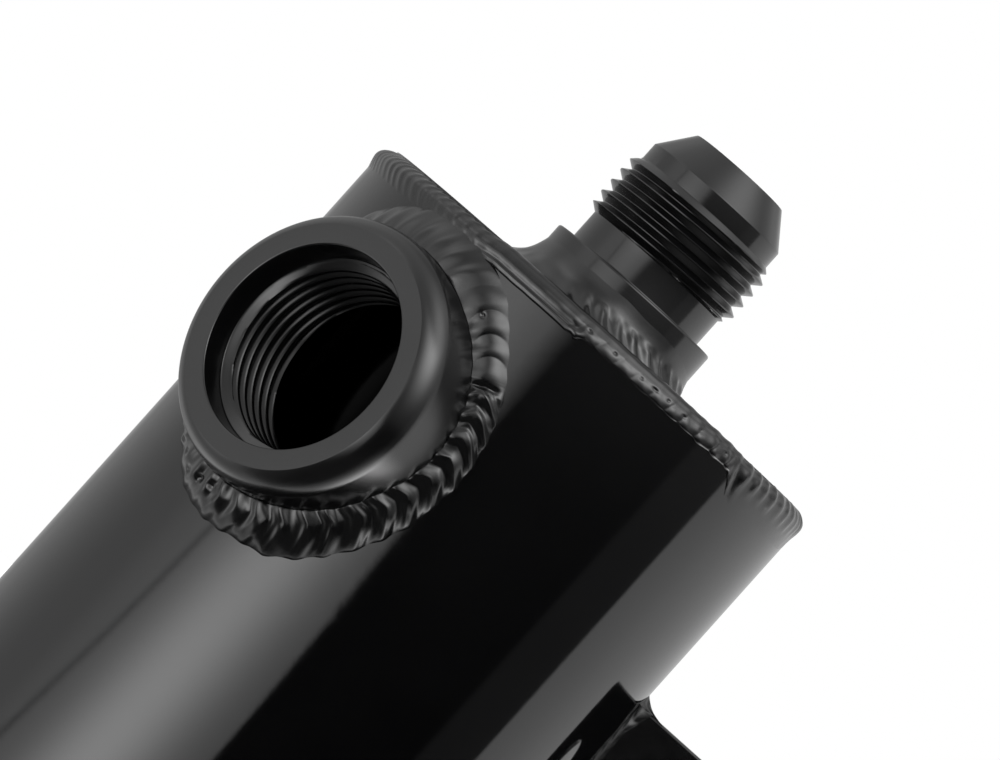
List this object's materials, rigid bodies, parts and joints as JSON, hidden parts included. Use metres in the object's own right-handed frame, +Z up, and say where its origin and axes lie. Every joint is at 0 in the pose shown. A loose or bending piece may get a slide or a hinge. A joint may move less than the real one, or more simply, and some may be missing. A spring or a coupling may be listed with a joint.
{
  "type": "oil catch can",
  "caption": "Round black aluminium oil catch can with a welded top plate, flare hose fitting on top, threaded side port, slotted side tab and drain plug in a recessed bottom.",
  "frame": {"origin": "on the can's axis, in the plane of the foot it stands on", "axes": "+Z up along the can's axis to the top fitting; +X out along the mounting tab; the side port faces about 126 degrees from the tab, between -X and -Y"},
  "size_m": [0.1151, 0.0933, 0.2313],
  "materials": {
    "black_body": "gloss",
    "black_weld": "gloss",
    "black_turned": "satin",
    "black_inner": "matte",
    "wire_wool": "matte",
    "plug_steel": "satin",
    "washer_copper": "satin"
  },
  "bodies": {
    "can": {"can_tube": "black_body", "top_plate": "black_body", "top_seam_weld": "black_weld", "top_fitting": "black_turned", "top_fitting_weld": "black_weld", "side_port_bung": "black_turned", "side_port_weld": "black_weld", "mounting_tab": "black_body", "tab_welds": "black_weld", "bottom_plate": "black_body", "bottom_seam_weld": "black_weld", "drain_bung": "black_turned", "drain_bung_weld": "black_weld", "inlet_drop_tube": "black_inner", "drop_tube_weld": "black_inner", "upper_baffle": "black_inner", "mesh_pad": "wire_wool", "lower_baffle": "black_inner", "baffle_tacks": "black_inner"},
    "washer": {"drain_plug_washer": "washer_copper"},
    "plug": {"drain_plug": "plug_steel"}
  },
  "joints": [
    {"name": "plug_out", "type": "slide", "parent": "can", "child": "washer", "axis": [0, 0, -1], "range_m": [0, 0.012]},
    {"name": "plug_turn", "type": "hinge", "parent": "washer", "child": "plug", "pos_m": [0, 0, 0.008], "axis": [0, 0, -1], "range_deg": [0, 2880]}
  ],
  "couplings": [
    {"joint": "plug_turn", "follows": "plug_out", "rad_per_m": 4188.8}
  ]
}
